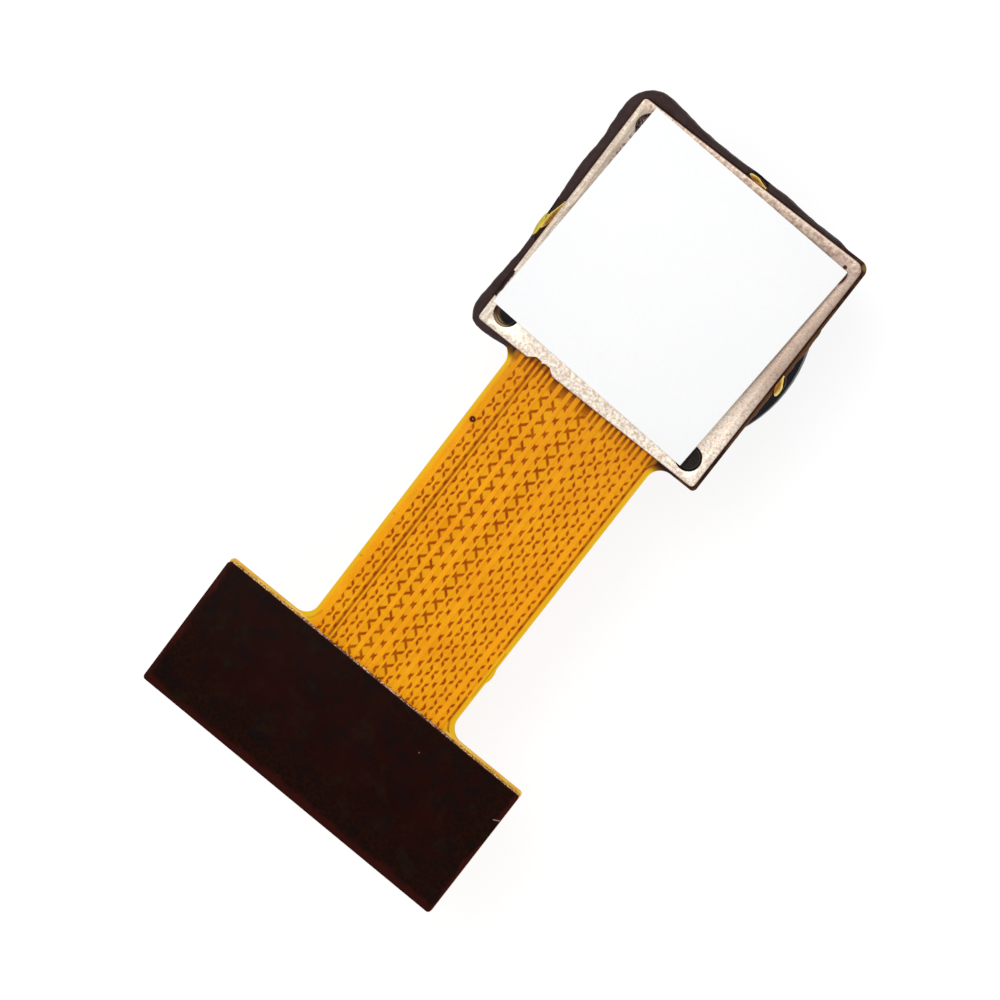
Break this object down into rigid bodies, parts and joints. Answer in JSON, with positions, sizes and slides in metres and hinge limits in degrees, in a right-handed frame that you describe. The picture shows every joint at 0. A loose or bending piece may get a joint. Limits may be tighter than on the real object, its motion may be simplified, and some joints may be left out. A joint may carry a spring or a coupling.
{
  "type": "camera module",
  "caption": "Small fixed-focus camera head on a flat flexible circuit, with a taped steel back plate, a narrow neck and a stiffened contact tail.",
  "frame": {"origin": "on the lens axis, in the plane of the lens barrel's front face, which is also the face that the part rests on", "axes": "+Z along the lens axis from the front of the lens to the taped back of the head; +Y from the contact tail along the neck to the head; +X to the right, seen from the back with the head up"},
  "size_m": [0.0125, 0.0261, 0.005],
  "materials": {
    "polyimide": "amber cover film over copper traces and a ground mesh, satin gloss",
    "gold_plate": "hard gold plating on copper, bright",
    "dark_laminate": "very dark red-brown laminate, satin",
    "plate_steel": "thin rolled stainless sheet, fine grain",
    "tape_film": "white foam-free adhesive film",
    "liner_paper": "smooth coated release paper",
    "black_glue": "cured black adhesive, soft gloss",
    "holder_plastic": "black moulded plastic, fine matt",
    "clear_glue": "clear cured adhesive drops",
    "barrel_plastic": "black moulded plastic, satin",
    "ring_plastic": "black light-absorbing film and rings",
    "lens_glass": "coated optical glass",
    "filter_glass": "infrared cut filter, faint cyan",
    "silicon": "silicon with a fine pixel array",
    "package_glass": "clear flat glass",
    "solder": "tin alloy, bright",
    "capacitor_ceramic": "brown ceramic, matt"
  },
  "bodies": {
    "root": {"flex_circuit": "polyimide", "contact_fingers": "gold_plate", "tail_stiffener": "dark_laminate", "head_stiffener": "plate_steel", "mounting_tape": "tape_film", "release_liner": "liner_paper", "perimeter_glue": "black_glue", "lens_holder": "holder_plastic", "focus_glue": "clear_glue", "lens_barrel": "barrel_plastic", "front_ring": "ring_plastic", "front_lens": "lens_glass", "middle_lens": "lens_glass", "lens_spacer": "ring_plastic", "rear_lens": "lens_glass", "rear_ring": "ring_plastic", "filter_glue": "clear_glue", "ir_filter": "filter_glass", "image_sensor": "silicon", "sensor_dam": "black_glue", "sensor_glass": "package_glass", "solder_balls": "solder", "capacitor_bodies": "capacitor_ceramic", "capacitor_ends": "solder"}
  },
  "joints": []
}
